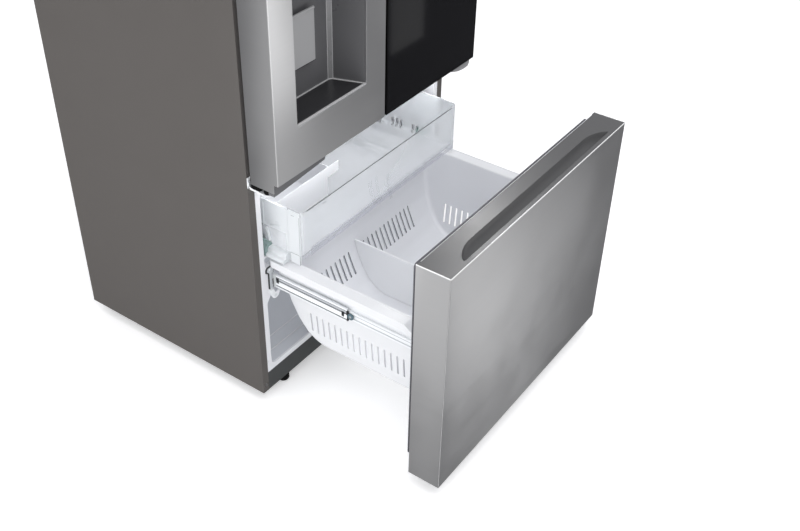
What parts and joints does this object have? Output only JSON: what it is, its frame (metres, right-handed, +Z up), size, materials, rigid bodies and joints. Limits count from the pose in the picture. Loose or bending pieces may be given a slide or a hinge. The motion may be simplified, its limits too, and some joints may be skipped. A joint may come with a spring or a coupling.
{
  "type": "bottom freezer refrigerator",
  "caption": "French-door refrigerator with a water dispenser in one door, a dark glass other door and a bottom freezer drawer standing open over its basket and tray.",
  "frame": {"origin": "floor, at the middle of the bounding box with the freezer drawer open", "axes": "+Z up, -Y towards the person in front of the doors, +X to that person's right"},
  "size_m": [0.912, 1.366, 1.787],
  "materials": {
    "case_paint": "satin coated steel, dark warm grey",
    "galvanised_back": "galvanised steel sheet",
    "front_rail_paint": "satin dark paint",
    "rail_paint_light": "satin light grey paint",
    "base_steel": "galvanised steel",
    "roller_nylon": "nylon",
    "foot_plastic": "moulded, threaded stem",
    "liner_white": "vacuum-formed polystyrene, soft sheen",
    "insulation": "stands in for rigid polyurethane foam",
    "cover_white": "moulded, fine texture",
    "coil_aluminium": "mill finish fins and tube",
    "motor_grey": "small shaded-pole motor",
    "fan_plastic": "moulded",
    "compressor_black": "black painted pressed shell",
    "condenser_steel": "black painted tube and fins",
    "rear_grille": "corrugated cover with louvres",
    "inlet_black": "moulded appliance inlet",
    "hinge_cover_grey": "moulded, satin",
    "hinge_zinc": "zinc plated steel",
    "washer_black": "nylon washer",
    "shelf_glass": "tempered sheet",
    "crisper_clear": "clear moulded",
    "rail_zinc": "rolled, zinc plated",
    "clip_black": "moulded clip and roller",
    "stainless": "brushed, fingerprint-resistant",
    "cap_grey": "moulded, satin grey",
    "gasket_grey": "magnetic bellows seal",
    "basket_white": "moulded polypropylene",
    "tray_clear": "clear moulded",
    "dispenser_grey": "moulded well with dark control plate",
    "drip_dark": "moulded grille",
    "paddle_grey": "moulded",
    "bins_clear": "clear moulded",
    "flipper_white": "moulded bar",
    "tinted_glass": "black tinted tempered glass",
    "frame_black": "moulded frame",
    "screw_steel": "zinc plated pan head"
  },
  "bodies": {
    "cabinet": {"cabinet_shell": "case_paint", "cabinet_back_panel": "galvanised_back", "base_rail": "front_rail_paint", "centre_rail": "rail_paint_light", "base_pan": "base_steel", "front_feet": "foot_plastic", "fridge_liner": "liner_white", "freezer_liner": "liner_white", "cabinet_foam": "insulation", "evaporator_cover": "cover_white", "evaporator_coil": "coil_aluminium", "fan_motors": "motor_grey", "air_duct_cover": "cover_white", "compressor": "compressor_black", "condenser_coil": "condenser_steel", "machine_room_cover": "rear_grille", "power_inlet": "inlet_black", "hinge_brackets": "hinge_zinc", "top_hinge_covers": "hinge_cover_grey", "ice_maker": "cover_white", "hinge_washers": "washer_black", "fridge_shelves": "shelf_glass", "crisper_cover": "crisper_clear", "rail_cabinet_members": "rail_zinc", "rail_brackets": "rail_zinc", "cabinet_screws": "screw_steel"},
    "rear_rollers": {"rear_rollers": "roller_nylon"},
    "evaporator_fan": {"evaporator_fan": "fan_plastic"},
    "condenser_fan": {"condenser_fan": "fan_plastic"},
    "crisper_left": {"crisper_left": "crisper_clear"},
    "crisper_right": {"crisper_right": "crisper_clear"},
    "pantry_drawer": {"pantry_drawer": "crisper_clear"},
    "rail_middle": {"rail_middle_members": "rail_zinc", "rail_clips": "clip_black"},
    "freezer_drawer": {"rail_drawer_members": "rail_zinc", "drawer_panel": "stainless", "drawer_caps": "cap_grey", "drawer_foam": "insulation", "drawer_inner_panel": "cover_white", "drawer_gasket": "gasket_grey", "freezer_basket": "basket_white", "basket_divider": "basket_white"},
    "freezer_tray": {"freezer_tray": "tray_clear", "ice_bin": "basket_white"},
    "left_door": {"left_door_panel": "stainless", "left_door_caps": "cap_grey", "left_door_foam": "insulation", "left_door_liner": "cover_white", "left_door_gasket": "gasket_grey", "dispenser_housing": "dispenser_grey", "drip_tray": "drip_dark", "left_door_bins": "bins_clear"},
    "dispenser_paddle": {"dispenser_paddle": "paddle_grey"},
    "door_flipper": {"door_flipper": "flipper_white"},
    "right_door": {"right_door_glass": "tinted_glass", "right_door_frame": "frame_black", "right_door_foam": "insulation", "right_door_liner": "cover_white", "right_door_gasket": "gasket_grey", "right_door_bins": "bins_clear"}
  },
  "joints": [
    {"name": "drawer_slide", "type": "slide", "parent": "cabinet", "child": "freezer_drawer", "axis": [0, -1, 0], "range_m": [-0.5095, 0]},
    {"name": "rail_slide", "type": "slide", "parent": "cabinet", "child": "rail_middle", "axis": [0, -1, 0], "range_m": [-0.282, 0]},
    {"name": "tray_slide", "type": "slide", "parent": "cabinet", "child": "freezer_tray", "axis": [0, -1, 0], "range_m": [-0.1305, 0]},
    {"name": "left_door_hinge", "type": "hinge", "parent": "cabinet", "child": "left_door", "pos_m": [-0.44, -0.117, 1.27], "axis": [0, 0, -1], "range_deg": [0, 110]},
    {"name": "right_door_hinge", "type": "hinge", "parent": "cabinet", "child": "right_door", "pos_m": [0.44, -0.117, 1.27], "axis": [0, 0, 1], "range_deg": [0, 110]},
    {"name": "flipper_fold", "type": "hinge", "parent": "left_door", "child": "door_flipper", "pos_m": [-0.05, -0.045, 1.27], "axis": [0, 0, -1], "range_deg": [0, 90]},
    {"name": "paddle_press", "type": "hinge", "parent": "left_door", "child": "dispenser_paddle", "pos_m": [-0.228, -0.082, 1.182], "axis": [1, 0, 0], "range_deg": [0, 3.5], "stiffness_Nm_per_rad": 2},
    {"name": "crisper_left_slide", "type": "slide", "parent": "cabinet", "child": "crisper_left", "axis": [0, -1, 0], "range_m": [0, 0.095]},
    {"name": "crisper_right_slide", "type": "slide", "parent": "cabinet", "child": "crisper_right", "axis": [0, -1, 0], "range_m": [0, 0.095]},
    {"name": "pantry_slide", "type": "slide", "parent": "cabinet", "child": "pantry_drawer", "axis": [0, -1, 0], "range_m": [0, 0.095]},
    {"name": "evaporator_fan_spin", "type": "hinge", "parent": "cabinet", "child": "evaporator_fan", "pos_m": [0, 0.509, 0.664], "axis": [0, 1, 0], "continuous": true},
    {"name": "condenser_fan_spin", "type": "hinge", "parent": "cabinet", "child": "condenser_fan", "pos_m": [-0.017, 0.553, 0.15], "axis": [1, 0, 0], "continuous": true},
    {"name": "rear_roller_spin", "type": "hinge", "parent": "cabinet", "child": "rear_rollers", "pos_m": [0, 0.633, 0.026], "axis": [1, 0, 0], "continuous": true}
  ],
  "couplings": [
    {"joint": "rail_slide", "follows": "drawer_slide", "ratio": 0.5525},
    {"joint": "tray_slide", "follows": "drawer_slide", "ratio": 0.25515}
  ]
}
